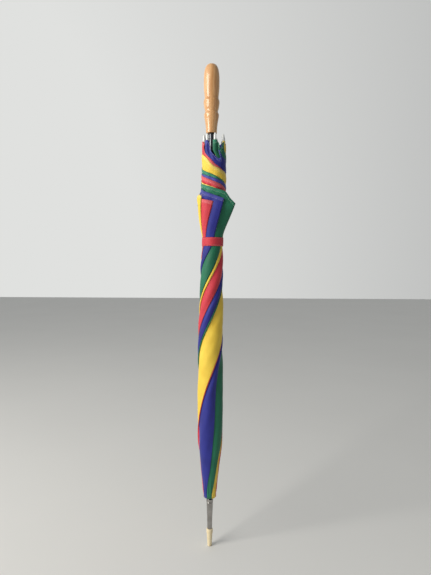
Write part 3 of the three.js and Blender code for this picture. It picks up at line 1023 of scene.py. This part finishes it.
spread_pieces = [spread_panel(flap) for flap in FLAPS]
print(len(spread_pieces), "panels fan out as the ribs open")

# %% [markdown]
# ## Stitches
# The hems, and both edges of the strap, are sewn with a straight lockstitch. A stitch
# is the same short thread hundreds of times along a path, so Geometry Nodes makes it:
# the path becomes a curve, the curve is cut at the stitch spacing, and a small rounded
# thread is placed at each cut, turned to follow the path.

# %% Stitch maker
STITCH = {"Stitch spacing": 2.8 * MM, "Stitch length": 2.0 * MM, "Thread radius": 0.12 * MM}


def stitch_tree():
    tree = bpy.data.node_groups.new("Row of stitches", "GeometryNodeTree")
    tree.interface.new_socket("Geometry", in_out="INPUT", socket_type="NodeSocketGeometry")
    for label, value in STITCH.items():
        socket = tree.interface.new_socket(label, in_out="INPUT", socket_type="NodeSocketFloat")
        socket.default_value = value
    tree.interface.new_socket("Thread", in_out="INPUT", socket_type="NodeSocketMaterial")
    tree.interface.new_socket("Geometry", in_out="OUTPUT", socket_type="NodeSocketGeometry")
    given = add_node(tree, "NodeGroupInput").outputs
    path = add_node(tree, "GeometryNodeMeshToCurve", {"Mesh": given["Geometry"]})
    cut = add_node(
        tree,
        "GeometryNodeResampleCurve",
        {"Curve": path.outputs["Curve"], "Length": given["Stitch spacing"]},
        mode="LENGTH",
    )
    thread = add_node(tree, "GeometryNodeMeshUVSphere", {"Segments": 6, "Rings": 4, "Radius": 1.0})
    half = add_node(tree, "ShaderNodeMath", {0: given["Stitch length"], 1: 0.5}, operation="MULTIPLY")
    size = add_node(
        tree,
        "ShaderNodeCombineXYZ",
        {"X": given["Thread radius"], "Y": given["Thread radius"], "Z": half.outputs["Value"]},
    )
    way = add_node(tree, "GeometryNodeInputTangent")
    turn = add_node(tree, "FunctionNodeAlignRotationToVector", {"Vector": way.outputs["Tangent"]}, axis="Z")
    placed = add_node(
        tree,
        "GeometryNodeInstanceOnPoints",
        {
            "Points": cut.outputs["Curve"],
            "Instance": thread.outputs["Mesh"],
            "Rotation": turn.outputs["Rotation"],
            "Scale": size.outputs["Vector"],
        },
    )
    real = add_node(tree, "GeometryNodeRealizeInstances", {"Geometry": placed.outputs["Instances"]})
    smooth = add_node(tree, "GeometryNodeSetShadeSmooth", {"Geometry": real.outputs["Geometry"]})
    dyed = add_node(
        tree, "GeometryNodeSetMaterial", {"Geometry": smooth.outputs["Geometry"], "Material": given["Thread"]}
    )
    add_node(tree, "NodeGroupOutput", {"Geometry": dyed.outputs["Geometry"]})
    return tree


STITCHES = stitch_tree()


def socket_id(tree, label):
    return next(s.identifier for s in tree.interface.items_tree if s.name == label and s.in_out == "INPUT")


def sewn(name, paths):
    """A plain mesh of stitches along each path of points."""
    points, edges = [], []
    for path in paths:
        first = len(points)
        points += [tuple(map(float, p)) for p in path]
        edges += [(k, k + 1) for k in range(first, len(points) - 1)]
    mesh = bpy.data.meshes.new(name + "_path")
    mesh.from_pydata(points, edges, [])
    source = bpy.data.objects.new(name + "_path", mesh)
    bpy.context.scene.collection.objects.link(source)
    maker = source.modifiers.new("stitches", "NODES")
    maker.node_group = STITCHES
    for label, value in {**STITCH, "Thread": THREAD}.items():
        maker[socket_id(STITCHES, label)] = value
    graph = bpy.context.evaluated_depsgraph_get()
    made = bpy.data.meshes.new_from_object(source.evaluated_get(graph))
    bpy.data.objects.remove(source)
    made.name = name
    piece = bpy.data.objects.new(name, made)
    bpy.context.scene.collection.objects.link(piece)
    return piece


print("stitch inputs:", [s.name for s in STITCHES.interface.items_tree if s.in_out == "INPUT"])

# %% [markdown]
# The rows run just inside each hem and along the strap's two edges. The strap's rows
# start where its loose end stops, and the loose end has none of its own.

# %% Sew the hems and the strap
def hem_path(flap):
    shares = np.linspace(0.012, 0.998, 260)
    rises = 1 - 0.006 / (hem_height(flap, shares) - BASE)
    return cloth_at(flap, 0, shares, rises, lift=0.12)


def strap_path(height, start, end, lift):
    turns = np.linspace(start, end, 140)
    at = np.radians(turns)
    z = np.full_like(at, height)
    middle, uneven = strap_radius(turns, z)
    radius = (middle + uneven + lift) * MM
    return np.stack([radius * np.cos(at) + lean(z), radius * np.sin(at), z], axis=-1)


hem_stitches = sewn("hem_stitches", [hem_path(flap) for flap in FLAPS])
strap_stitches = sewn(
    "strap_stitches",
    [strap_path(z, 62, 402, 0.36) for z in (STRAP_LOW + 1.6 * MM, STRAP_HIGH - 1.6 * MM)],
)
for piece in (hem_stitches, strap_stitches):
    fold_away(piece)
print("stitch faces:", len(hem_stitches.data.polygons), "and", len(strap_stitches.data.polygons))

# %% [markdown]
# ## What the cloth was before it was furled
# The spread panels aren't declared: they stretch from a strip to a whole panel, which
# no cloth does.

# %% [markdown]
# ## Floor and light
# A plain pale floor and soft studio light. The main light is a large soft panel on the
# left, so the right side falls into gentle shade, and a weak one fills from the right.

# %% Floor, lights and surroundings
floor_mesh = bpy.data.meshes.new("studio_floor")
floor_mesh.from_pydata([(-6, -6, 0), (6, -6, 0), (6, 6, 0), (-6, 6, 0)], [], [(0, 1, 2, 3)])
floor = bpy.data.objects.new("studio_floor", floor_mesh)
bpy.context.scene.collection.objects.link(floor)
paint, tree, shader = start_material("Matt pale floor paint", Roughness=0.8)
cloud = add_node(
    tree,
    "ShaderNodeTexNoise",
    {"Vector": add_node(tree, "ShaderNodeTexCoord").outputs["Object"], "Scale": 2.0, "Detail": 3.0},
)
tree.links.new(between(tree, cloud.outputs["Fac"], "D9D9D7", "DFDFDD"), shader.inputs["Base Color"])
floor_mesh.materials.append(paint)


def soft_light(name, place, aim, size, power, colour):
    data = bpy.data.lights.new(name, "AREA")
    data.shape, data.size, data.energy = "SQUARE", size, power
    data.color = linear(colour)[:3]
    lamp = bpy.data.objects.new(name, data)
    bpy.context.scene.collection.objects.link(lamp)
    lamp.location = place
    lamp.rotation_euler = (Vector(aim) - Vector(place)).to_track_quat("-Z", "Y").to_euler()
    return lamp


soft_light("window_left", (-2.0, -1.25, 1.5), (0, 0, 0.55), 1.4, 62, "FFFBF4")
soft_light("fill_right", (2.2, -1.4, 1.0), (0, 0, 0.5), 1.6, 3, "F2F6FF")
# The surroundings are pale behind and to the left.
world = bpy.data.worlds.new("studio")
world.use_nodes = True
bpy.context.scene.world = world
around = world.node_tree
way = add_node(around, "ShaderNodeTexCoord").outputs["Generated"]
# Dimmest towards the right of the front, so that round metal shows a dark line.
frontward = add_node(
    around, "ShaderNodeVectorMath", {0: way, 1: (0.72, -0.69, 0.0)}, operation="DOT_PRODUCT"
).outputs["Value"]
backdrop = between(around, spread(around, frontward, -0.8, 0.75), "EDEEEC", "5E6063")
around.links.new(backdrop, around.nodes["Background"].inputs["Color"])
around.nodes["Background"].inputs["Strength"].default_value = 0.88
bpy.context.scene.view_settings.view_transform = "Standard"
